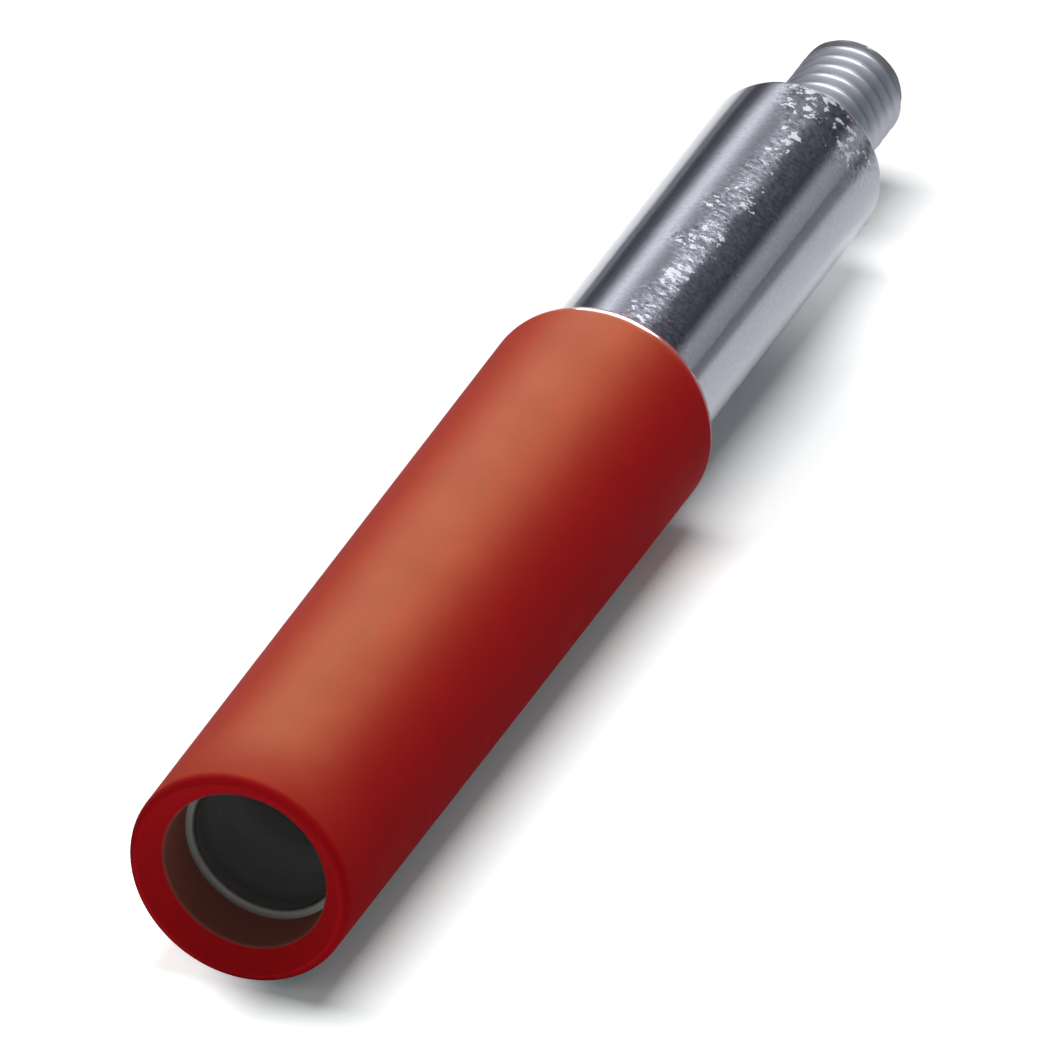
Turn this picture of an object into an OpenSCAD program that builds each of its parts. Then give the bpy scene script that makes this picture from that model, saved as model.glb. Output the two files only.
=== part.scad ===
// Inline test connector: a turned metal socket with a threaded stud, in a moulded sleeve.
// It lies along Y with the plug mouth towards -Y and the stud towards +Y.
// The origin is on the axis, in the plane of the shoulder that the stud leaves.

/* [Contact body] */
// Outer diameter of the metal body
body_d = 5; // [4.9:0.05:5.2]
// Diameter of the plug bore
bore_d = 4; // [3.9:0.05:4.1]
// Depth of the full-size plug bore, from the body's front face
bore_depth = 20; // [18:0.5:21]
// Width of the chamfer round the mouth of the plug bore
bore_chamfer = 0.1; // [0.05:0.05:0.15]
// Included angle of the drill point at the bottom of the plug bore
drill_angle = 118; // [90:2:140]
// Length of bare metal between the sleeve and the shoulder
neck_len = 13.6; // [10:0.1:16]
// Radius of the rounded shoulder edge
shoulder_r = 0.3; // [0.1:0.05:0.4]

/* [Stud] */
// Major diameter of the stud's thread
stud_d = 3; // [2.5:0.1:3]
// Length of the stud from the shoulder to its end
stud_len = 4.3; // [3:0.1:8]
// Width of the chamfer on the stud's end
stud_chamfer = 0.3; // [0.1:0.05:0.4]

/* [Insulating sleeve] */
// Length of the sleeve
sleeve_len = 25; // [24:0.1:30]
// Outer diameter at the front, the mouth end
sleeve_front_d = 6.15; // [6:0.05:6.4]
// Outer diameter at the rear
sleeve_rear_d = 6.4; // [6.2:0.05:7]
// Radius of the rounded front edge
front_edge_r = 0.25; // [0.1:0.05:0.45]
// Depth of the dished lead-in that runs from the front edge to the mouth
lead_in_depth = 0.5; // [0.1:0.05:0.6]
// Radius of the rounded rear edge
rear_edge_r = 0.12; // [0.05:0.01:0.2]
// Diameter of the mouth in the front lip
mouth_d = 4.5; // [4.3:0.05:4.7]
// Radius of the rounded edge between the lead-in and the mouth
mouth_edge_r = 0.15; // [0.05:0.05:0.25]
// Depth of the metal's front face behind the front of the sleeve
recess = 1.9; // [1.4:0.05:3]

/* [Fit] */
// Radial clearance between the metal body and the sleeve
sleeve_fit = 0.02; // [0.01:0.01:0.05]

/* [Hidden] */
$fn = 96;
arc_steps = 6;
mouth_y = -(neck_len + sleeve_len);
rear_y = -neck_len;
face_y = mouth_y + recess;
body_r = body_d / 2;
bore_r = bore_d / 2;
stud_r = stud_d / 2;
mouth_r = mouth_d / 2;
drill_point_len = bore_r / tan(drill_angle / 2);
front_r = sleeve_front_d / 2;
rear_r = sleeve_rear_d / 2;
lead_in_angle = atan2(lead_in_depth, front_r - front_edge_r - mouth_r);
mouth_edge_y = mouth_y + lead_in_depth + mouth_edge_r * tan((90 - lead_in_angle) / 2);

// Points of a round edge, from one angle to another about a centre
function arc(centre, r, from_deg, to_deg) = [
    for (i = [0 : arc_steps])
        let (a = from_deg + (to_deg - from_deg) * i / arc_steps)
        centre + r * [cos(a), sin(a)]
];

// Turns a profile of [radius, Y] points about the Y axis
module turned(profile) {
    rotate([-90, 0, 0])
        rotate_extrude()
            polygon(profile);
}

// Metal socket, neck, shoulder and stud, turned from one bar
module contact_body() {
    bore_end_y = face_y + bore_depth;
    color([0.74, 0.74, 0.8])
        turned(concat(
            [
                [0, bore_end_y + drill_point_len],
                [bore_r, bore_end_y],
                [bore_r, face_y + bore_chamfer],
                [bore_r + bore_chamfer, face_y],
                [body_r, face_y],
            ],
            arc([body_r - shoulder_r, -shoulder_r], shoulder_r, 0, 90),
            [
                [stud_r, 0],
                [stud_r, stud_len - stud_chamfer],
                [stud_r - stud_chamfer, stud_len],
                [0, stud_len],
            ]
        ));
}

// Moulded sleeve: a tapered outside, a bore for the body and a narrower front lip
module insulating_sleeve() {
    sleeve_bore_r = body_r + sleeve_fit;
    color([0.72, 0.09, 0.11])
        turned(concat(
            arc([mouth_r + mouth_edge_r, mouth_edge_y], mouth_edge_r, -90 - lead_in_angle, -180),
            [
                [mouth_r, face_y],
                [sleeve_bore_r, face_y],
                [sleeve_bore_r, rear_y],
            ],
            arc([rear_r - rear_edge_r, rear_y - rear_edge_r], rear_edge_r, 90, 0),
            arc([front_r - front_edge_r, mouth_y + front_edge_r], front_edge_r, 0, -90)
        ));
}

contact_body();
insulating_sleeve();
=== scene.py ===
"""Test connector: a red moulded sleeve on a bright plated contact with a threaded stud.

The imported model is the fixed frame. Each operator makes one finished piece in metres, with its
place in its mesh, or the stage that the connector lies on. The connector lies along Y, with the
plug mouth towards -Y and the stud towards +Y, and the origin in the plane of the shoulder.
"""

import math
from types import SimpleNamespace

import bmesh
import bpy
from bpy.props import FloatProperty, FloatVectorProperty, IntProperty, PointerProperty
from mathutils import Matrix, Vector


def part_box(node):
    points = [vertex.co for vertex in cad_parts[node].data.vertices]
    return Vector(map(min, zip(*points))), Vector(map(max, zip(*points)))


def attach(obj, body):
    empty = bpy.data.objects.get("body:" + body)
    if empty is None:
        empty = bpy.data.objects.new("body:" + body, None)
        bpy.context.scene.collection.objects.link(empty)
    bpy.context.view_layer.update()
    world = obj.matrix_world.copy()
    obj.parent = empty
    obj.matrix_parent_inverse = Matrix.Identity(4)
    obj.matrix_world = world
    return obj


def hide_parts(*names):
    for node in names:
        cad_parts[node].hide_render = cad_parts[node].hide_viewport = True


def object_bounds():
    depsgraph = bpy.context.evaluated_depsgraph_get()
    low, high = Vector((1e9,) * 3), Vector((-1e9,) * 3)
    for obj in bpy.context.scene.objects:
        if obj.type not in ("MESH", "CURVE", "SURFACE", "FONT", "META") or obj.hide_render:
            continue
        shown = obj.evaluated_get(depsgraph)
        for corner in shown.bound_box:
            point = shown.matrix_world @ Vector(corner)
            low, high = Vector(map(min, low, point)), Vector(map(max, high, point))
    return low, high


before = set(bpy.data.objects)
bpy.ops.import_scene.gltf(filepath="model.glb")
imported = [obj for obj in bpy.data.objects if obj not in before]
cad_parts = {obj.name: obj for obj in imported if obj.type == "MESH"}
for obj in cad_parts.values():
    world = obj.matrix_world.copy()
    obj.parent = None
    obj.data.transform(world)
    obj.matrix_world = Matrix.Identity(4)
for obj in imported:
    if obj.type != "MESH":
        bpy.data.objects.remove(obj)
CAD_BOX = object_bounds()

bl_info = {
    "name": "Test Connector",
    "version": (1, 0, 0),
    "blender": (4, 5, 0),
    "location": "View3D > Sidebar > Connector",
    "description": "Builds the dressed pieces of an inline test connector and its stage",
    "category": "Object",
}

MM = 0.001
SLEEVE_LOW, SLEEVE_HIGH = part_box("insulating_sleeve")
BODY_LOW, BODY_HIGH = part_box("contact_body")


# Settings

def length(name, description, default):
    """A length in metres, shown in the scene's units."""
    return FloatProperty(
        name=name, description=description, default=default,
        min=0.0, unit="LENGTH", subtype="DISTANCE", precision=5,
    )


def span(name, description, default):
    """Two distances in metres, where something starts and where it ends."""
    return FloatVectorProperty(
        name=name, description=description, default=default, size=2, unit="LENGTH"
    )


def share(name, description, default):
    """A number from 0 to 1."""
    return FloatProperty(
        name=name, description=description, default=default, min=0.0, max=1.0, subtype="FACTOR"
    )


def level(name, description, default):
    """A power or a strength."""
    return FloatProperty(name=name, description=description, default=default, min=0.0)


def count(name, description, default, fewest, most):
    """A number of faces, or of rows of them."""
    return IntProperty(name=name, description=description, default=default, min=fewest, max=most)


def colour(name, description, default):
    """A linear colour."""
    return FloatVectorProperty(
        name=name, description=description, default=default, size=3, min=0.0, max=1.0, subtype="COLOR"
    )


class ContactSizes(bpy.types.PropertyGroup):
    """Sizes of the turned metal contact."""

    body_radius: length("Body radius", "Radius of the plain metal body", BODY_HIGH[0])
    bore_radius: length("Bore radius", "Radius of the plug bore", 2.0 * MM)
    bore_depth: length("Bore depth", "Depth of the full-size bore from the front face", 20 * MM)
    bore_chamfer: length("Bore chamfer", "Width of the chamfer round the bore's mouth", 0.1 * MM)
    drill_point: length("Drill point", "Length of the drill point at the bottom of the bore", 1.2 * MM)
    shoulder_radius: length("Shoulder radius", "Radius of the rounded shoulder edge", 0.3 * MM)
    stud_chamfer: length("Stud chamfer", "Width of the chamfer on the stud's end", 0.3 * MM)
    pitch: length("Thread pitch", "Distance from one thread crest to the next", 0.5 * MM)
    crest_radius: length("Crest radius", "Radius over the thread's crests", 1.5 * MM)
    root_radius: length("Root radius", "Radius at the bottom of the thread", 1.27 * MM)
    run_out: length("Thread run-out", "Length over which the thread fades in at the shoulder", 0.25 * MM)
    rows_per_pitch: count("Rows per pitch", "Rows of faces in one turn of the thread", 20, 8, 24)
    segments: count("Segments", "Faces round the contact", 256, 64, 320)


class SleeveSizes(bpy.types.PropertyGroup):
    """Sizes of the moulded sleeve."""

    front_radius: length("Front radius", "Outer radius at the mouth end", 3.075 * MM)
    rear_radius: length("Rear radius", "Outer radius at the rear", SLEEVE_HIGH[0])
    front_edge: length("Front edge", "Radius of the rounded front edge", 0.25 * MM)
    rear_edge: length("Rear edge", "Radius of the rounded rear edge", 0.12 * MM)
    rear_crown: length("Rear crown", "Radius of the soft curve in front of the rear edge", 1.0 * MM)
    rear_turn: FloatProperty(
        name="Rear turn",
        description="Angle that the soft rear curve turns through",
        default=math.radians(32),
        subtype="ANGLE",
    )
    lead_in: length("Lead-in", "Depth of the dished front, from the front edge to the mouth", 0.5 * MM)
    mouth_radius: length("Mouth radius", "Radius of the mouth in the front lip", 2.25 * MM)
    mouth_edge: length("Mouth edge", "Radius of the rounded edge of the mouth", 0.15 * MM)
    recess: length("Recess", "Depth of the metal's front face behind the sleeve's front", 1.9 * MM)
    clearance: length("Clearance", "Gap between the metal and the sleeve's bore", 0.02 * MM)
    segments: count("Segments", "Faces round the sleeve", 256, 64, 320)


class Finishes(bpy.types.PropertyGroup):
    """Colours of the finishes, and the sizes and heights of their patterns."""

    plating: colour("Plating", "Colour of the bright plating", (0.38, 0.385, 0.45))
    plating_dull: colour("Dull plating", "Colour of the plating in its pits", (0.31, 0.315, 0.37))
    # Painted glints: bright flecks along the lit top, standing for lamps caught in worn, pitted plating
    flecks: colour("Flecks", "Colour of the worn flecks on the plating", (0.6, 0.61, 0.68))
    plating_dark: colour("Dark plating", "Colour of the dark flecks on the plating", (0.13, 0.14, 0.17))
    # Painted shade: the bottom of the thread is painted darker
    stud_root_shade: colour("Stud grooves", "Colour at the bottom of the thread", (0.3, 0.305, 0.35))
    # Painted reflection: the stud's right side is painted a darker blue-grey, as it reflects the dim
    # studio
    stud_reflection_tone: colour("Stud, blue", "Colour of the blued side of the stud", (0.25, 0.29, 0.34))
    stud: colour("Stud", "Colour of the satin plating on the stud", (0.46, 0.465, 0.54))
    stud_end: colour("Stud end", "Colour of the dark rim at the stud's end", (0.23, 0.235, 0.26))
    bore: colour("Bore", "Colour of the drilled bore, deep inside", (0.42, 0.435, 0.43))
    # Painted shade: the bore near its mouth is painted near-black
    bore_entrance_shade: colour("Bore entrance", "Colour of the bore near its mouth", (0.075, 0.077, 0.075))
    front_face: colour("Front face", "Colour of the dull metal face in the mouth", (0.2, 0.2, 0.19))
    sleeve: colour("Sleeve", "Colour of the sleeve's plastic", (0.262, 0.0035, 0.0065))
    sleeve_deep: colour("Sleeve, deep", "Darker tone in the sleeve's plastic", (0.228, 0.003, 0.0055))
    # Painted light: the dished front is painted a brighter red than the rest of the sleeve
    sleeve_face_lit: colour("Sleeve, face", "Colour of the dished front", (0.33, 0.0065, 0.009))
    # Painted shade: the inside of the mouth is painted a darker brown
    sleeve_inside_shade: colour("Sleeve, inside", "Brown tone inside the sleeve's mouth", (0.2, 0.073, 0.056))
    ripple_size: length("Ripple size", "Size of the soft ripple in the plating", 1.6 * MM)
    pit_size: length("Pit size", "Size of the pits in the plating", 0.26 * MM)
    mottle_size: length("Mottle size", "Size of the fine mottle on the plating", 0.13 * MM)
    plating_relief: length("Plating relief", "Height of the plating's ripple and pits", 0.008 * MM)
    fleck_size: length("Fleck size", "Size of the worn flecks on the plating", 0.2 * MM)
    patch_size: length("Patch size", "Size of the patches that the flecks gather in", 1.1 * MM)
    mark_size: length("Mark size", "Width of the turning marks in the bore", 0.12 * MM)
    mark_relief: length("Mark relief", "Height of the turning marks in the bore", 0.005 * MM)
    grain_size: length("Grain size", "Size of the sleeve's moulded grain", 0.06 * MM)
    grain_relief: length("Grain relief", "Height of the sleeve's moulded grain", 0.004 * MM)
    cloud_size: length("Cloud size", "Size of the sleeve's soft unevenness", 1.4 * MM)
    cloud_relief: length("Cloud relief", "Height of the sleeve's soft unevenness", 0.006 * MM)


class StageLevels(bpy.types.PropertyGroup):
    """Sizes and levels of the floor, the studio, the lamps and the camera."""

    floor_size: length("Floor size", "Side of the square floor", 4.0)
    floor_colour: colour("Floor colour", "Colour of the floor", (0.93, 0.93, 0.93))
    # Painted falloff of light: the floor is painted darker away from the connector
    floor_far_shade: colour("Far floor", "Colour of the floor far from the connector", (0.45, 0.45, 0.45))
    floor_fade: span("Floor fade", "Where the floor starts and ends darkening", (0.0195, 0.036))
    floor_beyond: span("Floor beyond", "Where the floor's far glow starts and is full", (0.045, 0.12))
    far_glow: level("Far glow", "Strength of the far floor's glow in reflections", 4.0)
    glow_sleeve: colour("Glow, sleeve", "Light of the seen floor beside the sleeve", (0.015, 0.06, 0.06))
    glow_neck: colour("Glow, neck", "Light of the seen floor beside the neck", (0.03, 0.038, 0.04))
    glow_end: colour("Glow, end", "Light of the seen floor beside the shoulder", (0.3, 0.305, 0.31))
    glow_mouth: colour("Glow, mouth", "Light of the seen floor left of the mouth", (0.7, 0.7, 0.7))
    neck_shade: share("Neck shade", "How much darker the neck reflects the floor on its right", 0.21)
    sleeve_shade: share("Sleeve shade", "How much darker the sleeve reflects the floor on its right", 0.75)
    seen_shade: share("Seen shade", "How much darker the floor is seen beside the neck", 0.2)
    dim_level: share("Overhead level", "Level of the studio overhead and at the sides", 0.12)
    front_level: share("Front level", "Level of the studio in front of the mouth", 0.5)
    overhead_power: level("Overhead power", "Power of the overhead lamp", 0.16)
    highlight_power: level("Highlight power", "Power of the highlight lamp", 0.2)
    sleeve_power: level("Sleeve lamp power", "Power of the lamp on the sleeve", 20.8)
    rim_power: level("Rim power", "Power of the lamp behind the sleeve's rear rim", 1.8)
    sleeve_light: colour("Sleeve light", "Colour of the lamp on the sleeve", (0.95, 0.91, 0.32))
    lens: FloatProperty(
        name="Lens", description="Focal length in millimetres", default=1000.0, unit="CAMERA"
    )


class ConnectorSettings(bpy.types.PropertyGroup):
    """All settings of the connector and its stage."""

    contact: PointerProperty(type=ContactSizes)
    sleeve: PointerProperty(type=SleeveSizes)
    finishes: PointerProperty(type=Finishes)
    stage: PointerProperty(type=StageLevels)


# Meshes

def arc(centre, radius, start, end, steps):
    """Points of a round edge as (y, r), from one angle to another in degrees, 0 being outwards."""
    points = []
    for i in range(steps + 1):
        angle = math.radians(start + (end - start) * i / steps)
        points.append((centre[0] + radius * math.sin(angle), centre[1] + radius * math.cos(angle)))
    return points


def steps_between(start, end, steps):
    """Evenly spaced values after start, up to and including end."""
    return [start + (end - start) * (i + 1) / steps for i in range(steps)]


def ring(bm, y, radius, segments):
    """One ring of points round the Y axis, or a single point on it."""
    if radius <= 0:
        return [bm.verts.new((0.0, y, 0.0))]
    turn = 2 * math.pi / segments
    places = [(radius * math.cos(i * turn), y, radius * math.sin(i * turn)) for i in range(segments)]
    return [bm.verts.new(place) for place in places]


def bridge(bm, first, second):
    """Faces between two rings of the same turn, either of which may be a single point."""
    faces = max(len(first), len(second))
    for i in range(faces):
        j = (i + 1) % faces
        corners = [first[i % len(first)], first[j % len(first)]]
        corners += [second[j % len(second)], second[i % len(second)]]
        bm.faces.new(list(dict.fromkeys(corners)))


def turned_mesh(name, profile, segments, closed):
    """A mesh turned about the Y axis from (y, r) points. If closed, its last ring joins its first."""
    bm = bmesh.new()
    rings = [ring(bm, y, radius, segments) for y, radius in profile]
    pairs = list(zip(rings, rings[1:]))
    if closed:
        pairs.append((rings[-1], rings[0]))
    for first, second in pairs:
        bridge(bm, first, second)
    bmesh.ops.recalc_face_normals(bm, faces=bm.faces)
    mesh = bpy.data.meshes.new(name)
    bm.to_mesh(mesh)
    bm.free()
    return mesh


def smooth(mesh, sharp_degrees):
    """Shades the mesh smooth, with a crease where its faces turn by more than an angle."""
    mesh.polygons.foreach_set("use_smooth", [True] * len(mesh.polygons))
    mesh.set_sharp_from_angle(angle=math.radians(sharp_degrees))


def mark(mesh, name, domain, chosen):
    """Stores a true or false mark on the points or faces of a mesh."""
    mesh.attributes.new(name, "BOOLEAN", domain).data.foreach_set("value", chosen)


def add_object(name, mesh):
    """Links a mesh to the scene as an object at the origin."""
    piece = bpy.data.objects.new(name, mesh)
    bpy.context.scene.collection.objects.link(piece)
    return piece


# Node helpers

def add_node(tree, kind, values=None, **attributes):
    """Adds a node, sets its attributes, and sets or links its inputs by name or number."""
    node = tree.nodes.new(kind)
    for key, value in attributes.items():
        setattr(node, key, value)
    for key, value in (values or {}).items():
        if isinstance(value, bpy.types.NodeSocket):
            tree.links.new(value, node.inputs[key])
        else:
            node.inputs[key].default_value = value
    return node


def maths(tree, operation, first, second=0.0, third=0.0, clamp=False):
    """A Math node's result."""
    values = {0: first, 1: second, 2: third}
    return add_node(tree, "ShaderNodeMath", values, operation=operation, use_clamp=clamp).outputs[0]


def product(tree, *factors):
    """The product of several numbers."""
    result = factors[0]
    for factor in factors[1:]:
        result = maths(tree, "MULTIPLY", result, factor)
    return result


def largest(tree, *values):
    """The largest of several numbers."""
    result = values[0]
    for value in values[1:]:
        result = maths(tree, "MAXIMUM", result, value)
    return result


def remap(tree, value, low, high, to_low=0.0, to_high=1.0, interpolation="LINEAR"):
    """A clamped Map Range of a number."""
    values = {"Value": value, "From Min": low, "From Max": high, "To Min": to_low, "To Max": to_high}
    return add_node(tree, "ShaderNodeMapRange", values, interpolation_type=interpolation).outputs["Result"]


def zone(tree, value, start, end):
    """A soft mask that rises from 0 at start to 1 at end."""
    return remap(tree, value, start, end, 0.0, 1.0, "SMOOTHSTEP")


def band(tree, angle, limits):
    """A soft mask round the axis, from its middle, full half width and outer half width in degrees."""
    middle, full, outer = (math.radians(limit) for limit in limits)
    off = maths(tree, "ABSOLUTE", maths(tree, "SUBTRACT", angle, middle))
    return zone(tree, off, outer, full)


def spread(tree, noise, low, high):
    """Spreads the range that a noise mostly keeps to over the numbers from low to high."""
    return remap(tree, noise, *NOISE_RANGE, low, high)


def split(tree, vector):
    """The X, Y and Z of a vector."""
    return add_node(tree, "ShaderNodeSeparateXYZ", {0: vector}).outputs


def around(tree, parts):
    """The angle round the Y axis, from +X towards +Z."""
    return maths(tree, "ARCTAN2", parts["Z"], parts["X"])


def outwards(tree, parts):
    """The vector from the Y axis straight out to a place."""
    return add_node(tree, "ShaderNodeCombineXYZ", {"X": parts["X"], "Z": parts["Z"]}).outputs[0]


def vector_length(tree, vector):
    """The length of a vector."""
    return add_node(tree, "ShaderNodeVectorMath", {0: vector}, operation="LENGTH").outputs["Value"]


def vector_sum(tree, first, second):
    """Two vectors added."""
    return add_node(tree, "ShaderNodeVectorMath", {0: first, 1: second}, operation="ADD").outputs[0]


def scaled(tree, vector, factor):
    """A vector or a colour times a number."""
    values = {0: vector, "Scale": factor}
    return add_node(tree, "ShaderNodeVectorMath", values, operation="SCALE").outputs[0]


def mix_colour(tree, factor, first, second):
    """A Mix node's colour."""
    return add_node(tree, "ShaderNodeMix", {0: factor, 6: first, 7: second}, data_type="RGBA").outputs[2]


def rgba(values):
    """A colour with full alpha."""
    return (*values, 1.0)


def grey(value):
    """A neutral colour with full alpha."""
    return (value, value, value, 1.0)


def add_sockets(tree, inputs, outputs):
    """Named sockets of a node group: each input is (name, type, default), each output (name, type)."""
    for name, kind, default in inputs:
        socket = tree.interface.new_socket(name, in_out="INPUT", socket_type=kind)
        if default is not None:
            socket.default_value = default
    for name, kind in outputs:
        tree.interface.new_socket(name, in_out="OUTPUT", socket_type=kind)


# The thread

def thread_radius(tree, given, parts):
    """The stud's radius at a place: a helical wave below the crest, kept inside the chamfered end."""
    turns = maths(tree, "DIVIDE", around(tree, parts), 2 * math.pi)
    along = maths(tree, "DIVIDE", parts["Y"], given["Pitch"])
    phase = maths(tree, "FRACT", maths(tree, "ADD", along, turns))
    wave = maths(tree, "COSINE", maths(tree, "MULTIPLY", phase, 2 * math.pi))
    height = maths(tree, "MULTIPLY_ADD", wave, -0.5, 0.5)
    depth = maths(tree, "SUBTRACT", given["Crest Radius"], given["Root Radius"])
    fade = zone(tree, parts["Y"], 0.0, given["Run-out"])
    cut = product(tree, depth, fade, maths(tree, "SUBTRACT", 1.0, height))
    threaded = maths(tree, "SUBTRACT", given["Crest Radius"], cut)
    to_end = maths(tree, "SUBTRACT", given["End Y"], parts["Y"])
    end_radius = maths(tree, "SUBTRACT", given["Crest Radius"], given["End Chamfer"])
    return maths(tree, "MINIMUM", threaded, maths(tree, "ADD", end_radius, to_end))


def thread_group():
    """Geometry nodes that cut a helical thread into the stud's wall and set both metal finishes."""
    tree = bpy.data.node_groups.new("helical_thread", "GeometryNodeTree")
    add_sockets(
        tree,
        [
            ("Geometry", "NodeSocketGeometry", None),
            ("Pitch", "NodeSocketFloat", 0.5 * MM),
            ("Crest Radius", "NodeSocketFloat", 1.5 * MM),
            ("Root Radius", "NodeSocketFloat", 1.2 * MM),
            ("Run-out", "NodeSocketFloat", 0.25 * MM),
            ("End Y", "NodeSocketFloat", 4.3 * MM),
            ("End Chamfer", "NodeSocketFloat", 0.3 * MM),
            ("Plating", "NodeSocketMaterial", None),
            ("Bore", "NodeSocketMaterial", None),
        ],
        [("Geometry", "NodeSocketGeometry")],
    )
    given = tree.nodes.new("NodeGroupInput").outputs
    parts = split(tree, add_node(tree, "GeometryNodeInputPosition").outputs[0])
    flat = outwards(tree, parts)
    factor = maths(tree, "DIVIDE", thread_radius(tree, given, parts), vector_length(tree, flat))
    height = add_node(tree, "ShaderNodeCombineXYZ", {"Y": parts["Y"]}).outputs[0]
    moved = vector_sum(tree, scaled(tree, flat, factor), height)
    wall = named_mask(tree, "stud_wall")
    shape = {"Geometry": given["Geometry"], "Selection": wall, "Position": moved}
    cut = add_node(tree, "GeometryNodeSetPosition", shape).outputs[0]
    real = add_node(tree, "GeometryNodeRealizeInstances", {"Geometry": cut}).outputs[0]
    plating = {"Geometry": real, "Material": given["Plating"]}
    plated = add_node(tree, "GeometryNodeSetMaterial", plating).outputs[0]
    drilled = named_mask(tree, "bore_wall")
    bore = {"Geometry": plated, "Selection": drilled, "Material": given["Bore"]}
    finished = add_node(tree, "GeometryNodeSetMaterial", bore).outputs[0]
    add_node(tree, "NodeGroupOutput", {"Geometry": finished})
    return tree


def named_mask(tree, name):
    """The stored true or false mark of that name."""
    kind = "GeometryNodeInputNamedAttribute"
    return add_node(tree, kind, {"Name": name}, data_type="BOOLEAN").outputs["Attribute"]


def apply_nodes(piece, tree, values):
    """Runs a geometry node group on a piece and keeps the result as its plain mesh."""
    modifier = piece.modifiers.new(tree.name, "NODES")
    modifier.node_group = tree
    for item in tree.interface.items_tree:
        if item.item_type == "SOCKET" and item.in_out == "INPUT" and item.name in values:
            modifier[item.identifier] = values[item.name]
    depsgraph = bpy.context.evaluated_depsgraph_get()
    plain = bpy.data.meshes.new_from_object(piece.evaluated_get(depsgraph))
    plain.name = piece.name
    piece.modifiers.remove(modifier)
    piece.data = plain


# Shared surface effects

NOISE_RANGE = (0.3, 0.7)
NOISE_MIDDLE = 0.5
# How far a patch, and a lack of wear, move the level of the flecks' noise
PATCH_PULL = 0.5
WEAR_PULL = 0.35


def noise_of(tree, vector, size, **settings):
    """A noise whose spots have a size in metres."""
    values = {"Vector": vector, "Scale": maths(tree, "DIVIDE", 1.0, size), **settings}
    return add_node(tree, "ShaderNodeTexNoise", values).outputs["Fac"]


def speckle_group():
    """Shader group: uneven spots of a named size, as a height."""
    tree = bpy.data.node_groups.new("speckle", "ShaderNodeTree")
    add_sockets(
        tree,
        [
            ("Vector", "NodeSocketVector", None),
            ("Size", "NodeSocketFloat", 0.2 * MM),
            ("Detail", "NodeSocketFloat", 2.0),
        ],
        [("Height", "NodeSocketFloat")],
    )
    given = tree.nodes.new("NodeGroupInput").outputs
    height = noise_of(tree, given["Vector"], given["Size"], Detail=given["Detail"])
    add_node(tree, "NodeGroupOutput", {"Height": height})
    return tree


def speckle(tree, vector, size, detail=2.0):
    """Places the speckle group in a material."""
    group = bpy.data.node_groups.get("speckle") or speckle_group()
    values = {"Vector": vector, "Size": size, "Detail": detail}
    return add_node(tree, "ShaderNodeGroup", values, node_tree=group).outputs["Height"]


def fleck_group():
    """Shader group: soft flecks of a named size, gathered in patches where the wear is high, used for dark
    flecks and for the bright flecks that are painted glints.
    """
    tree = bpy.data.node_groups.new("flecks", "ShaderNodeTree")
    add_sockets(
        tree,
        [
            ("Vector", "NodeSocketVector", None),
            ("Wear", "NodeSocketFloat", 1.0),
            ("Size", "NodeSocketFloat", 0.3 * MM),
            ("Patch Size", "NodeSocketFloat", 1.2 * MM),
            ("Start", "NodeSocketFloat", 0.55),
            ("Softness", "NodeSocketFloat", 0.1),
        ],
        [("Mask", "NodeSocketFloat")],
    )
    given = tree.nodes.new("NodeGroupInput").outputs
    fine = noise_of(tree, given["Vector"], given["Size"], Detail=3.0, Roughness=0.6)
    patch = noise_of(tree, given["Vector"], given["Patch Size"], Detail=1.0)
    gathering = maths(tree, "SUBTRACT", patch, NOISE_MIDDLE)
    gathered = maths(tree, "MULTIPLY_ADD", gathering, PATCH_PULL, fine)
    from_full = maths(tree, "SUBTRACT", given["Wear"], 1.0)
    worn = maths(tree, "MULTIPLY_ADD", from_full, WEAR_PULL, gathered)
    full = maths(tree, "ADD", given["Start"], given["Softness"])
    add_node(tree, "NodeGroupOutput", {"Mask": zone(tree, worn, given["Start"], full)})
    return tree


def flecks(tree, vector, wear_and_glints, finishes, start, softness):
    """Places the fleck group in a material."""
    group = bpy.data.node_groups.get("flecks") or fleck_group()
    values = {
        "Vector": vector,
        "Wear": wear_and_glints,
        "Size": finishes.fleck_size,
        "Patch Size": finishes.patch_size,
        "Start": start,
        "Softness": softness,
    }
    return add_node(tree, "ShaderNodeGroup", values, node_tree=group).outputs["Mask"]


def new_material(name):
    """An empty node material with a Principled BSDF, and the piece's Object coordinates."""
    material = bpy.data.materials.new(name)
    material.use_nodes = True
    tree = material.node_tree
    shader = tree.nodes["Principled BSDF"]
    place = add_node(tree, "ShaderNodeTexCoord").outputs["Object"]
    return material, tree, shader, place


def add_bump(tree, shader, height, relief, before=None):
    """Feeds a height to the shader's Normal, on top of an earlier bump if one is given."""
    node = add_node(tree, "ShaderNodeBump", {"Strength": 1.0, "Distance": relief, "Height": height})
    if before is not None:
        tree.links.new(before, node.inputs["Normal"])
    tree.links.new(node.outputs["Normal"], shader.inputs["Normal"])
    return node.outputs["Normal"]


# Plating

# Bands round the contact in degrees: their middle, from +X towards +Z, and the half widths
# within which they are full and outside which they end
# The worn strips lie along the lit top, where their bright flecks are painted glints
WORN_STRIP = (74, 8, 20)
WIDE_STRIP = (67, 16, 26)
ROUND_END = (56, 28, 44)
# The stud's side that carries the painted reflection
REFLECTED_SIDE = (28, 10, 30)
# How far the worn bands waver to each side, in radians
WAVER = 0.12

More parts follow.
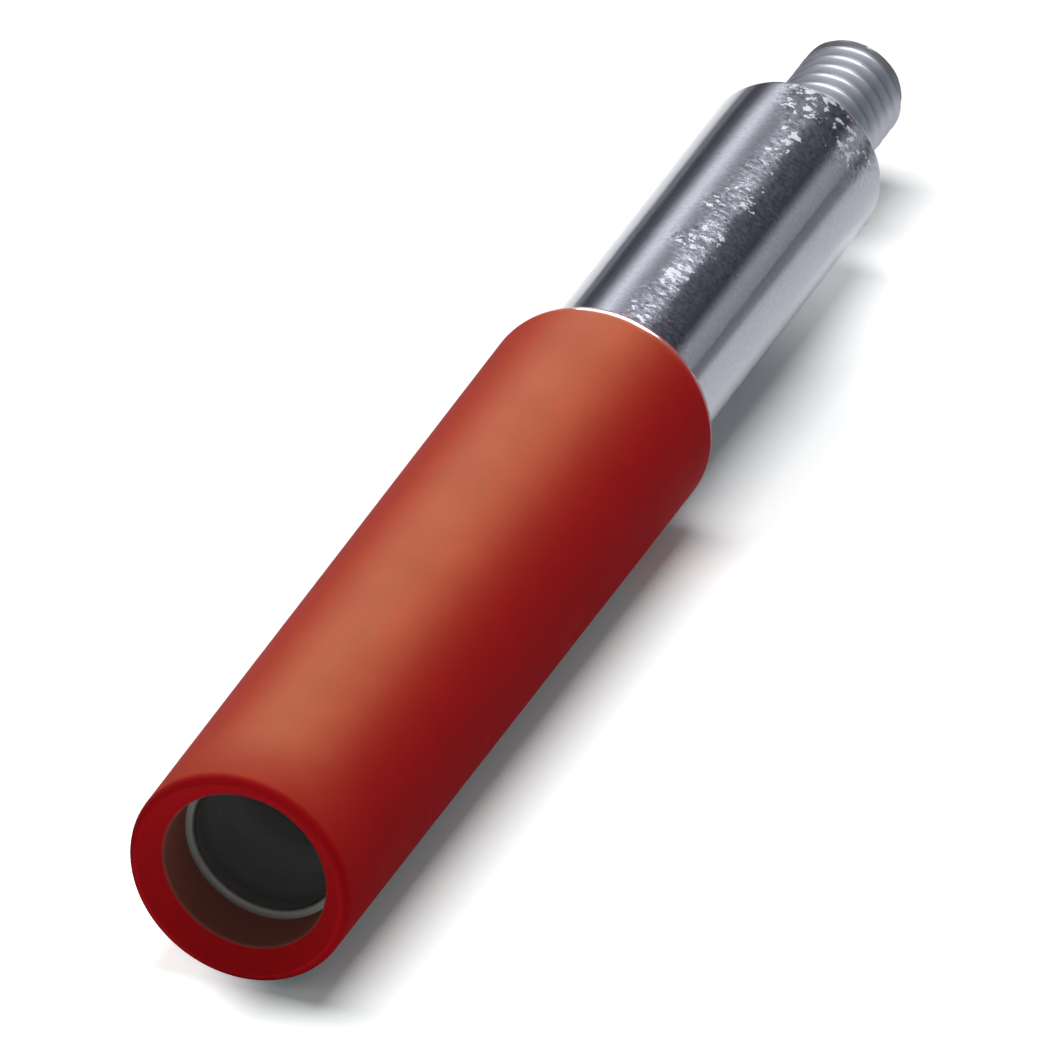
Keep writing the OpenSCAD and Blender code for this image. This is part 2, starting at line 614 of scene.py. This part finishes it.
# Soft edges along the contact, from the Y where an area starts to the Y where it is full
STUD_FOOT = (-0.02 * MM, 0.02 * MM)
WORN_SHOULDER = (-3.4 * MM, -1.2 * MM)
WORN_EDGE = (-0.5 * MM, -0.2 * MM)
REFLECTED_SIDE_START = (0.3 * MM, 1.5 * MM)
STUD_TIP = (BODY_HIGH[1] - 0.5 * MM, BODY_HIGH[1] - 0.35 * MM)
FRONT_FACE = (BODY_LOW[1] + 0.2 * MM, BODY_LOW[1] + 0.12 * MM)
# The same for the painted shade at the bottom of the thread, by radius
ROOT_SHADE = (1.42 * MM, 1.3 * MM)

# Wear added in the wide strip near the shoulder, and at its edge
END_WEAR = 0.1
EDGE_WEAR = 0.05
# Levels at which the flecks' noise starts to show, and how softly; the bright flecks are painted glints
GLINT_FLECKS = (0.56, 0.1)
DARK_FLECKS = (0.55, 0.15)
# A step in metres to another part of the noise, so that the dark flecks lie elsewhere
DARK_SHIFT = (0.01, 0.02, 0.03)
# Levels of the pits' noise between which they dull, and their depth where nothing is worn
PITTED = (0.5, 0.7)
UNWORN_PITS = 0.12
MOTTLE = 0.35
LEAST_MOTTLE = 0.2
DARK_STRENGTH = 0.7
REFLECTED_SIDE_STRENGTH = 0.85

PLATING_ROUGHNESS = (0.08, 0.13)
WORN_ROUGHER = 0.06
STUD_ROUGHER = 0.33
FLECK_ROUGHER = 0.3
FACE_ROUGHER = 0.35
FLECK_METAL = 0.4


def plating_areas(tree, place, ripple):
    """Masks of the contact's areas: its worn places, whose bright flecks are painted glints, the parts of
    the stud, with painted shade in the thread's roots and a painted reflection on its side, and the front
    face.
    """
    parts = split(tree, place)
    along, angle = parts["Y"], around(tree, parts)
    radius = vector_length(tree, outwards(tree, parts))
    wavering = maths(tree, "ADD", angle, spread(tree, ripple, -WAVER, WAVER))
    stud = remap(tree, along, *STUD_FOOT)
    plain = maths(tree, "SUBTRACT", 1.0, stud)
    strip = product(tree, band(tree, wavering, WORN_STRIP), plain)
    wide = product(tree, band(tree, wavering, WIDE_STRIP), plain)
    round_end = product(tree, band(tree, wavering, ROUND_END), plain)
    worn_end = product(tree, zone(tree, along, *WORN_SHOULDER), round_end)
    worn = largest(tree, strip, worn_end)
    wear_and_glints = maths(tree, "MULTIPLY_ADD", product(tree, worn_end, wide), END_WEAR, worn)
    edge = product(tree, zone(tree, along, *WORN_EDGE), wide)
    return SimpleNamespace(
        plain=plain,
        worn=worn,
        wear_and_glints=maths(tree, "MULTIPLY_ADD", edge, EDGE_WEAR, wear_and_glints),
        mottled=largest(tree, wide, worn_end, LEAST_MOTTLE),
        stud=stud,
        # Painted shade in the thread's roots
        root_shade=product(tree, stud, zone(tree, radius, *ROOT_SHADE)),
        # Painted reflection on the stud's right side
        blue=product(tree, band(tree, angle, REFLECTED_SIDE), REFLECTED_SIDE_STRENGTH, remap(tree, along, *REFLECTED_SIDE_START)),
        tip=remap(tree, along, *STUD_TIP),
        face=remap(tree, along, *FRONT_FACE),
    )


def plating_tone(tree, areas, bright, dark, pits, mottle, finishes):
    """The contact's colour: plating with pits, mottle, dark flecks and bright flecks that are painted
    glints, then the stud, with painted shade in its thread's roots and a painted reflection on its side,
    and the front face.
    """
    dull = product(tree, zone(tree, pits, *PITTED), areas.worn)
    tone = mix_colour(tree, dull, rgba(finishes.plating), rgba(finishes.plating_dull))
    tone = mix_colour(tree, product(tree, dark, DARK_STRENGTH), tone, rgba(finishes.plating_dark))
    uneven = spread(tree, mottle, -MOTTLE, MOTTLE)
    tone = scaled(tree, tone, maths(tree, "MULTIPLY_ADD", uneven, areas.mottled, 1.0))
    for area, over in (
        (bright, finishes.flecks),
        (areas.stud, finishes.stud),
        (areas.root_shade, finishes.stud_root_shade),
        (areas.blue, finishes.stud_reflection_tone),
        (areas.tip, finishes.stud_end),
        (areas.face, finishes.front_face),
    ):
        tone = mix_colour(tree, area, tone, rgba(over))
    return tone


def plating_roughness(tree, areas, bright, ripple):
    """The contact's roughness, higher in the worn places, on the stud and on the front face."""
    roughness = spread(tree, ripple, *PLATING_ROUGHNESS)
    for area, rougher in (
        (areas.worn, WORN_ROUGHER),
        (areas.stud, STUD_ROUGHER),
        (bright, FLECK_ROUGHER),
        (areas.face, FACE_ROUGHER),
    ):
        roughness = maths(tree, "MULTIPLY_ADD", area, rougher, roughness)
    return roughness


def plating_material(finishes):
    """Bright plating over a turned surface: a soft ripple, a worn strip along its top with painted glints,
    and a satin stud with painted shade in its thread and a painted reflection on its side.
    """
    material, tree, shader, place = new_material("bright_plating")
    pits = speckle(tree, place, finishes.pit_size)
    mottle = speckle(tree, place, finishes.mottle_size)
    ripple = speckle(tree, place, finishes.ripple_size, 1.0)
    areas = plating_areas(tree, place, ripple)
    # Bright flecks: painted glints where the worn top of the plating catches the lamps
    bright = product(tree, flecks(tree, place, areas.wear_and_glints, finishes, *GLINT_FLECKS), areas.plain)
    shifted = vector_sum(tree, place, DARK_SHIFT)
    dark = product(tree, flecks(tree, shifted, areas.wear_and_glints, finishes, *DARK_FLECKS), areas.plain)
    tone = plating_tone(tree, areas, bright, dark, pits, mottle, finishes)
    tree.links.new(tone, shader.inputs["Base Color"])
    tree.links.new(plating_roughness(tree, areas, bright, ripple), shader.inputs["Roughness"])
    tree.links.new(remap(tree, bright, 0.0, 1.0, 1.0, FLECK_METAL), shader.inputs["Metallic"])
    dents = product(tree, pits, remap(tree, areas.worn, 0.0, 1.0, UNWORN_PITS, 1.0))
    rippled = add_bump(tree, shader, ripple, finishes.plating_relief)
    add_bump(tree, shader, dents, finishes.plating_relief, rippled)
    return material


# Drilled bore

# The turning marks are stretched round the bore
MARK_SCALE = (0.08, 1.0, 0.08)
BORE_DEEP = (BODY_LOW[1] + 0.5 * MM, BODY_LOW[1] + 2.6 * MM)
MARK_SHADE = (0.95, 0.85)
BORE_ROUGHNESS = (0.7, 0.8)
BORE_METAL = 0.15


def bore_material(finishes):
    """The drilled bore: dull metal with fine turning marks, with painted shade that darkens it near its
    mouth.
    """
    material, tree, shader, place = new_material("drilled_bore")
    stretched = add_node(tree, "ShaderNodeMapping", {"Vector": place, "Scale": MARK_SCALE}).outputs[0]
    marks = speckle(tree, stretched, finishes.mark_size)
    add_bump(tree, shader, marks, finishes.mark_relief)
    # Painted shade: dark at the bore's mouth, lighter deeper in
    deep = remap(tree, split(tree, place)["Y"], *BORE_DEEP)
    tone = mix_colour(tree, deep, rgba(finishes.bore_entrance_shade), rgba(finishes.bore))
    tone = scaled(tree, tone, spread(tree, marks, *MARK_SHADE))
    tree.links.new(tone, shader.inputs["Base Color"])
    tree.links.new(spread(tree, marks, *BORE_ROUGHNESS), shader.inputs["Roughness"])
    shader.inputs["Metallic"].default_value = BORE_METAL
    return material


# Sleeve plastic

# Where the painted brown shade inside and the painted light on the dished face start and are full,
# past the mouth's radius and past the front's radius
INSIDE_SHADE = (0.07 * MM, 0.005 * MM)
DISHED = (-0.1 * MM, -0.25 * MM)
# Where the rear edge's gloss starts and is full, along Y and outwards
GLOSS_ALONG = (SLEEVE_HIGH[1] - 0.5 * MM, SLEEVE_HIGH[1] - 0.3 * MM)
GLOSS_OUT = (SLEEVE_HIGH[0] - 0.27 * MM, SLEEVE_HIGH[0] - 0.24 * MM)
GLOSS_ROUGHNESS = 0.15
GLOSS_IOR = 1.2
ROUGH_FRONT = (SLEEVE_LOW[1] + 2.5 * MM, SLEEVE_LOW[1] + 0.2 * MM)
FRONT_ROUGHER = 0.2
SLEEVE_ROUGHNESS = (0.545, 0.58)
SLEEVE_IOR = 1.06


def sleeve_tone(tree, radius, cloud, finishes, sizes):
    """The sleeve's colour: a cloudy red, with painted light that makes the dished face brighter and
    painted shade that makes the inside of the mouth brown.
    """
    tone = mix_colour(tree, cloud, rgba(finishes.sleeve), rgba(finishes.sleeve_deep))
    # Painted light on the dished face
    face = remap(tree, radius, *(sizes.front_radius + past for past in DISHED))
    tone = mix_colour(tree, face, tone, rgba(finishes.sleeve_face_lit))
    # Painted shade inside the mouth
    inside = zone(tree, radius, *(sizes.mouth_radius + past for past in INSIDE_SHADE))
    return mix_colour(tree, inside, tone, rgba(finishes.sleeve_inside_shade))


def sleeve_material(finishes, sizes):
    """Satin moulded plastic with a faint grain, and a glossier rear edge."""
    material, tree, shader, place = new_material("satin_plastic")
    grain = speckle(tree, place, finishes.grain_size)
    cloud = speckle(tree, place, finishes.cloud_size, 3.0)
    clouded = add_bump(tree, shader, cloud, finishes.cloud_relief)
    add_bump(tree, shader, grain, finishes.grain_relief, clouded)
    parts = split(tree, place)
    radius = vector_length(tree, outwards(tree, parts))
    tree.links.new(sleeve_tone(tree, radius, cloud, finishes, sizes), shader.inputs["Base Color"])
    front = remap(tree, parts["Y"], *ROUGH_FRONT)
    smoother = spread(tree, cloud, *SLEEVE_ROUGHNESS)
    roughness = maths(tree, "MULTIPLY_ADD", front, FRONT_ROUGHER, smoother)
    tree.links.new(roughness, shader.inputs["Roughness"])
    edge = product(tree, zone(tree, parts["Y"], *GLOSS_ALONG), zone(tree, radius, *GLOSS_OUT))
    tree.links.new(edge, shader.inputs["Coat Weight"])
    shader.inputs["Coat Roughness"].default_value = GLOSS_ROUGHNESS
    shader.inputs["Coat IOR"].default_value = GLOSS_IOR
    shader.inputs["IOR"].default_value = SLEEVE_IOR
    return material


# Pieces

# Rows of faces along each stretch of the contact and of the sleeve
BORE_ROWS = 16
NECK_ROWS = 24
SHOULDER_ROWS = 10
MOUTH_EDGE_ROWS = 10
MOUTH_ROWS = 6
SLEEVE_BORE_ROWS = 12
REAR_EDGE_ROWS = 6
CROWN_ROWS = 10
TAPER_ROWS = 32
FRONT_EDGE_ROWS = 12
# Angles in degrees above which an edge is creased
CONTACT_CREASE = 50
SLEEVE_CREASE = 40


def bore_profile(sizes):
    """The bore's half section as (y, r), from its drill point to the chamfer at its mouth."""
    bore_end = BODY_LOW[1] + sizes.bore_depth
    wall = steps_between(bore_end, BODY_LOW[1] + sizes.bore_chamfer, BORE_ROWS)
    profile = [(bore_end + sizes.drill_point, 0.0), (bore_end, sizes.bore_radius)]
    return profile + [(y, sizes.bore_radius) for y in wall]


def body_profile(sizes):
    """The plain body's half section as (y, r), from the front face round the shoulder's edge."""
    face_y, body, edge = BODY_LOW[1], sizes.body_radius, sizes.shoulder_radius
    profile = [(face_y, sizes.bore_radius + sizes.bore_chamfer), (face_y, body)]
    profile += [(y, body) for y in steps_between(face_y, -edge, NECK_ROWS)][:-1]
    return profile + arc((-edge, body - edge), edge, 0, 90, SHOULDER_ROWS)


def stud_profile(sizes):
    """The stud's plain wall as (y, r), with enough rows for the thread."""
    rows = round(BODY_HIGH[1] / sizes.pitch * sizes.rows_per_pitch)
    return [(y, sizes.crest_radius) for y in [0.0, *steps_between(0.0, BODY_HIGH[1], rows)]]


def make_contact(sizes, plating, bore):
    """The plated contact, with its thread cut by geometry nodes."""
    drilled, body, stud = bore_profile(sizes), body_profile(sizes), stud_profile(sizes)
    profile = drilled + body + stud + [(BODY_HIGH[1], 0.0)]
    mesh = turned_mesh("plated_contact", profile, sizes.segments, closed=False)
    # The first ring is a single point
    first = 1 + (len(drilled + body) - 1) * sizes.segments
    last = first + len(stud) * sizes.segments
    mark(mesh, "stud_wall", "POINT", [first <= i < last for i in range(len(mesh.vertices))])
    bore_faces = (len(drilled) - 1) * sizes.segments
    mark(mesh, "bore_wall", "FACE", [i < bore_faces for i in range(len(mesh.polygons))])
    piece = add_object("plated_contact", mesh)
    values = {
        "Pitch": sizes.pitch,
        "Crest Radius": sizes.crest_radius,
        "Root Radius": sizes.root_radius,
        "Run-out": sizes.run_out,
        "End Y": BODY_HIGH[1],
        "End Chamfer": sizes.stud_chamfer,
        "Plating": plating,
        "Bore": bore,
    }
    apply_nodes(piece, thread_group(), values)
    for name in ("stud_wall", "bore_wall"):
        piece.data.attributes.remove(piece.data.attributes[name])
    smooth(piece.data, CONTACT_CREASE)
    return piece


def mouth_profile(sizes, bore):
    """The sleeve's mouth and bore as (y, r), from the lead-in to the rear face."""
    front_y, mouth, edge = SLEEVE_LOW[1], sizes.mouth_radius, sizes.mouth_edge
    face_y = front_y + sizes.recess
    slope = math.atan2(sizes.lead_in, sizes.front_radius - sizes.front_edge - mouth)
    edge_y = front_y + sizes.lead_in + edge * math.tan((math.pi / 2 - slope) / 2)
    profile = arc((edge_y, mouth + edge), edge, -90 - math.degrees(slope), -180, MOUTH_EDGE_ROWS)
    profile += [(y, mouth) for y in steps_between(edge_y, face_y, MOUTH_ROWS)]
    profile += [(face_y, bore)]
    return profile + [(y, bore) for y in steps_between(face_y, SLEEVE_HIGH[1], SLEEVE_BORE_ROWS)]


def rear_profile(sizes):
    """The sleeve's rear edge as (y, r): a small edge, then a soft curve that ends along the wall."""
    edge, crown, turn = sizes.rear_edge, sizes.rear_crown, sizes.rear_turn
    edge_y = SLEEVE_HIGH[1] - edge
    edge_centre = (edge_y, sizes.rear_radius - edge - (crown - edge) * (1 - math.cos(turn)))
    crown_centre = (edge_y - (crown - edge) * math.sin(turn), sizes.rear_radius - crown)
    profile = arc(edge_centre, edge, 90, math.degrees(turn), REAR_EDGE_ROWS)
    return profile + arc(crown_centre, crown, math.degrees(turn), 0, CROWN_ROWS)[1:]


def make_sleeve(sizes, body_radius, finish):
    """The moulded sleeve, turned from its closed half section."""
    rear, edge = rear_profile(sizes), sizes.front_edge
    front = arc((SLEEVE_LOW[1] + edge, sizes.front_radius - edge), edge, 0, -90, FRONT_EDGE_ROWS)
    ends = zip(rear[-1], front[0])
    taper = list(zip(*(steps_between(start, end, TAPER_ROWS) for start, end in ends)))[:-1]
    profile = mouth_profile(sizes, body_radius + sizes.clearance) + rear + taper + front
    mesh = turned_mesh("red_sleeve", profile, sizes.segments, closed=True)
    mesh.materials.append(finish)
    smooth(mesh, SLEEVE_CREASE)
    return add_object("red_sleeve", mesh)


# Stage

VIEW_AZIMUTH = 22.3
VIEW_ELEVATION = 31.9
VIEW_WIDTH = 27.43 * MM
AIM_RIGHT = -0.82 * MM
AIM_UP = -1.30 * MM
SENSOR_WIDTH = 36.0
CLIP = (0.01, 10.0)

# Light of the studio behind the stud, by the angle in degrees from +X over the top to -X
STRIP_LIGHTS = (
    (0, 0.47), (4, 0.48), (14, 0.57), (20, 0.59), (24, 0.50), (30, 0.24), (36, 0.09),
    (50, 0.14), (62, 0.16), (70, 0.24), (80, 0.35), (112, 0.42), (120, 0.68), (127, 1.12),
    (134, 1.53), (141, 1.30), (149, 0.62), (157, 0.21), (168, 0.105), (175, 0.14), (180, 0.41),
)
SHADE_TINT = (0.0, 0.002, 0.02)
# The Y of a direction where the studio's front, and its back, start and are full
STUDIO_FRONT = (-0.2, -0.6)
STUDIO_BACK = (0.5, 0.7)

# Soft-edged zones of the floor, from their clear side to their full side, along Y or across X
SLEEVE_END = (-18.0 * MM, -15.0 * MM)
SLEEVE_REAR = (-15.5 * MM, -14.0 * MM)
NECK_START = (-16.0 * MM, -12.5 * MM)
NECK_MIDDLE = (-2.0 * MM, -8.0 * MM)
NECK_END = (-6.0 * MM, 0.5 * MM)
STUD_START = (2.5 * MM, 0.5 * MM)
MOUTH_END = (SLEEVE_LOW[1] + 8.0 * MM, SLEEVE_LOW[1] + 3.0 * MM)
RIGHT_SIDE = (0.0, 1.5 * MM)
LEFT_SIDE = (1.2 * MM, -1.4 * MM)
NECK_SIDES = (6.5 * MM, 3.0 * MM)
SHOULDER_SIDES = (4.0 * MM, 2.8 * MM)
FLOOR_ROUGHNESS = 0.9
FLOOR_IOR = 1.0

# Lamps: the angle round the connector from +X and the tilt from +Y in degrees, the distance from
# its middle, and the lamp's width across the connector and length along it, in metres
OVERHEAD_LAMP = (90.0, 92.2, 0.12, (0.08, 0.034))
HIGHLIGHT_LAMP = (95.0, 50.0, 0.30, (0.16, 0.10))
SLEEVE_LAMP = (112.0, 46.0, 0.30, (0.40, 0.14))
RIM_LAMP = (139.0, 16.0, 0.30, (0.15, 0.10))


def view_line():
    """The direction back to the camera, and the point that the camera looks at."""
    a, e = math.radians(VIEW_AZIMUTH), math.radians(VIEW_ELEVATION)
    back = Vector((math.sin(a) * math.cos(e), -math.cos(a) * math.cos(e), math.sin(e)))
    right = Vector((math.cos(a), math.sin(a), 0.0))
    up = back.cross(right)
    middle = (CAD_BOX[0] + CAD_BOX[1]) / 2
    return back, middle + right * AIM_RIGHT + up * AIM_UP


def make_camera(levels):
    """The camera at the photograph's viewing angle, with a long lens."""
    back, aim = view_line()
    data = bpy.data.cameras.new("camera")
    data.sensor_width = SENSOR_WIDTH
    data.lens = levels.lens
    data.clip_start, data.clip_end = CLIP
    camera = bpy.data.objects.new("camera", data)
    camera.location = aim + back * (VIEW_WIDTH * levels.lens / SENSOR_WIDTH)
    camera.rotation_euler = back.to_track_quat("Z", "Y").to_euler()
    bpy.context.scene.collection.objects.link(camera)
    bpy.context.scene.camera = camera


def strip_ramp(tree, angle):
    """The colour of the strip lights by the angle round the connector."""
    half_turn = maths(tree, "DIVIDE", angle, math.pi, clamp=True)
    ramp = add_node(tree, "ShaderNodeValToRGB", {"Fac": half_turn})
    elements = ramp.color_ramp.elements
    elements.remove(elements[-1])
    for i, (degrees, light) in enumerate(STRIP_LIGHTS):
        stop = elements[0] if i == 0 else elements.new(degrees / 180)
        stop.position = degrees / 180
        stop.color = rgba(tuple(light + tint for tint in SHADE_TINT))
    return ramp.outputs["Color"]


def make_world(levels):
    """The studio round the object: strip lights behind the stud, a plain fill in front, dim overhead."""
    world = bpy.data.worlds.new("studio")
    world.use_nodes = True
    tree = world.node_tree
    parts = split(tree, add_node(tree, "ShaderNodeTexCoord").outputs["Generated"])
    front = zone(tree, parts["Y"], *STUDIO_FRONT)
    back = zone(tree, parts["Y"], *STUDIO_BACK)
    plain = mix_colour(tree, front, grey(levels.dim_level), grey(levels.front_level))
    light = mix_colour(tree, back, plain, strip_ramp(tree, around(tree, parts)))
    background = tree.nodes["Background"]
    tree.links.new(light, background.inputs["Color"])
    bpy.context.scene.world = world


def floor_tone(tree, parts, distance, path, levels):
    """The floor's colour: a painted falloff of light far away, a painted shadow beside the neck, and
    painted shade where the right side reflects it.
    """
    far = zone(tree, distance, *levels.floor_fade)
    tone = mix_colour(tree, far, rgba(levels.floor_colour), rgba(levels.floor_far_shade))
    shades = (levels.sleeve_shade, levels.neck_shade)
    shade = remap(tree, parts["Y"], *SLEEVE_REAR, *shades, "SMOOTHSTEP")
    right = remap(tree, parts["X"], *RIGHT_SIDE)
    tone = mix_colour(tree, product(tree, shade, right, path["Is Glossy Ray"]), tone, grey(0.0))
    along = product(tree, zone(tree, parts["Y"], *NECK_START), zone(tree, parts["Y"], *NECK_MIDDLE))
    near = zone(tree, maths(tree, "ABSOLUTE", parts["X"]), *NECK_SIDES)
    seen = product(tree, along, near, path["Is Camera Ray"], levels.seen_shade)
    return mix_colour(tree, seen, tone, grey(0.0))


def floor_glow(tree, parts, path, levels):
    """The colour of the light that the seen floor adds, which lifts the shade beside the connector."""
    rear = zone(tree, parts["Y"], *SLEEVE_END)
    light = mix_colour(tree, rear, rgba(levels.glow_sleeve), rgba(levels.glow_neck))
    along = product(tree, zone(tree, parts["Y"], *NECK_END), zone(tree, parts["Y"], *STUD_START))
    near = zone(tree, maths(tree, "ABSOLUTE", parts["X"]), *SHOULDER_SIDES)
    light = mix_colour(tree, product(tree, along, near), light, rgba(levels.glow_end))
    mouth = product(tree, zone(tree, parts["Y"], *MOUTH_END), zone(tree, parts["X"], *LEFT_SIDE))
    return mix_colour(tree, product(tree, mouth, path["Is Camera Ray"]), light, rgba(levels.glow_mouth))


def floor_strength(tree, distance, path, levels):
    """How strongly the floor glows: 1 near the connector where it is seen, more in far reflections."""
    seen = largest(tree, path["Is Camera Ray"], path["Is Glossy Ray"], path["Is Transmission Ray"])
    near = maths(tree, "SUBTRACT", 1.0, zone(tree, distance, *levels.floor_fade))
    beyond = remap(tree, distance, *levels.floor_beyond, 0.0, levels.far_glow)
    return maths(tree, "ADD", product(tree, seen, near), product(tree, path["Is Glossy Ray"], beyond))


def floor_material(floor_z, levels):
    """A plain white finish that keeps the object's shadow, with a painted falloff of light that darkens it
    softly far away.
    """
    material, tree, shader, place = new_material("white_floor")
    shader.inputs["Roughness"].default_value = FLOOR_ROUGHNESS
    shader.inputs["IOR"].default_value = FLOOR_IOR
    back, aim = view_line()
    # Distances from the middle of the view, stretched so that they make circles for the camera
    values = {
        "Vector": place,
        "Location": aim - back * ((aim.z - floor_z) / back.z),
        "Rotation": (0, 0, math.radians(VIEW_AZIMUTH)),
        "Scale": (1, 1 / back.z, 1),
    }
    from_middle = add_node(tree, "ShaderNodeMapping", values, vector_type="TEXTURE").outputs[0]
    distance = vector_length(tree, from_middle)
    parts = split(tree, place)
    path = add_node(tree, "ShaderNodeLightPath").outputs
    tree.links.new(floor_tone(tree, parts, distance, path, levels), shader.inputs["Base Color"])
    tree.links.new(floor_glow(tree, parts, path, levels), shader.inputs["Emission Color"])
    tree.links.new(floor_strength(tree, distance, path, levels), shader.inputs["Emission Strength"])
    return material


def make_floor(levels):
    """The square floor that the connector lies on."""
    half = levels.floor_size / 2
    z = CAD_BOX[0][2]
    mesh = bpy.data.meshes.new("floor")
    corners = [(-half, -half, z), (half, -half, z), (half, half, z), (-half, half, z)]
    mesh.from_pydata(corners, [], [(0, 1, 2, 3)])
    mesh.materials.append(floor_material(z, levels))
    floor = add_object("floor", mesh)


def make_lamp(name, placement, power):
    """A soft rectangular lamp aimed at the connector's middle."""
    across, tilt, distance, size = placement
    data = bpy.data.lights.new(name, "AREA")
    data.shape = "RECTANGLE"
    data.size, data.size_y = size
    data.energy = power
    lamp = bpy.data.objects.new(name, data)
    middle = (CAD_BOX[0] + CAD_BOX[1]) / 2
    a, e = math.radians(across), math.radians(tilt)
    out = Vector((math.cos(a) * math.sin(e), math.cos(e), math.sin(a) * math.sin(e)))
    lamp.location = middle + out * distance
    lamp.rotation_euler = out.to_track_quat("Z", "Y").to_euler()
    lamp.visible_camera = False
    bpy.context.scene.collection.objects.link(lamp)
    return lamp


def make_lamps(levels):
    """The overhead lamp, a highlight lamp, and two lamps that light only the sleeve."""
    make_lamp("overhead_lamp", OVERHEAD_LAMP, levels.overhead_power)
    highlight = make_lamp("highlight_lamp", HIGHLIGHT_LAMP, levels.highlight_power)
    sheen = make_lamp("sleeve_lamp", SLEEVE_LAMP, levels.sleeve_power)
    sheen.data.color = levels.sleeve_light
    rim = make_lamp("rim_lamp", RIM_LAMP, levels.rim_power)
    for lamp in (highlight, sheen, rim):
        lamp.visible_diffuse = False
    lit = bpy.data.collections.new("lit_by_sleeve_lamp")
    lit.objects.link(bpy.data.objects["red_sleeve"])
    for lamp in (sheen, rim):
        lamp.light_linking.receiver_collection = lit


# Operators

class CONNECTOR_OT_contact(bpy.types.Operator):
    """Make the plated contact with its bore and its threaded stud"""

    bl_idname = "connector.contact"
    bl_label = "Plated contact"

    def execute(self, context):
        values = context.scene.connector
        plating = plating_material(values.finishes)
        bore = bore_material(values.finishes)
        piece = make_contact(values.contact, plating, bore)
        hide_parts("contact_body")
        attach(piece, "root")
        return {"FINISHED"}


class CONNECTOR_OT_sleeve(bpy.types.Operator):
    """Make the moulded sleeve"""

    bl_idname = "connector.sleeve"
    bl_label = "Red sleeve"

    def execute(self, context):
        values = context.scene.connector
        finish = sleeve_material(values.finishes, values.sleeve)
        piece = make_sleeve(values.sleeve, values.contact.body_radius, finish)
        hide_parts("insulating_sleeve")
        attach(piece, "root")
        return {"FINISHED"}


class CONNECTOR_OT_stage(bpy.types.Operator):
    """Make the floor, the lights and the camera, once the sleeve is made"""

    bl_idname = "connector.stage"
    bl_label = "Stage"

    def execute(self, context):
        levels = context.scene.connector.stage
        make_camera(levels)
        make_world(levels)
        make_floor(levels)
        make_lamps(levels)
        context.scene.view_settings.view_transform = "Standard"
        return {"FINISHED"}


class CONNECTOR_PT_parts(bpy.types.Panel):
    """Lists the connector's settings and operators"""

    bl_idname = "CONNECTOR_PT_parts"
    bl_label = "Test Connector"
    bl_space_type = "VIEW_3D"
    bl_region_type = "UI"
    bl_category = "Connector"

    def draw(self, context):
        values = context.scene.connector
        for group in (values.contact, values.sleeve, values.finishes, values.stage):
            column = self.layout.box().column(align=True)
            for name in group.__annotations__:
                column.prop(group, name)
        for operator in OPERATORS:
            self.layout.operator(operator.bl_idname)


GROUPS = (ContactSizes, SleeveSizes, Finishes, StageLevels, ConnectorSettings)
OPERATORS = (CONNECTOR_OT_contact, CONNECTOR_OT_sleeve, CONNECTOR_OT_stage)


def register():
    """Registers the classes and the scene's settings."""
    for cls in (*GROUPS, *OPERATORS, CONNECTOR_PT_parts):
        bpy.utils.register_class(cls)
    bpy.types.Scene.connector = PointerProperty(type=ConnectorSettings)


def unregister():
    """Removes the settings and the classes."""
    del bpy.types.Scene.connector
    for cls in reversed((*GROUPS, *OPERATORS, CONNECTOR_PT_parts)):
        bpy.utils.unregister_class(cls)


def main():
    register()
    bpy.ops.connector.contact()
    bpy.ops.connector.sleeve()
    bpy.ops.connector.stage()


if __name__ == "__main__":
    main()
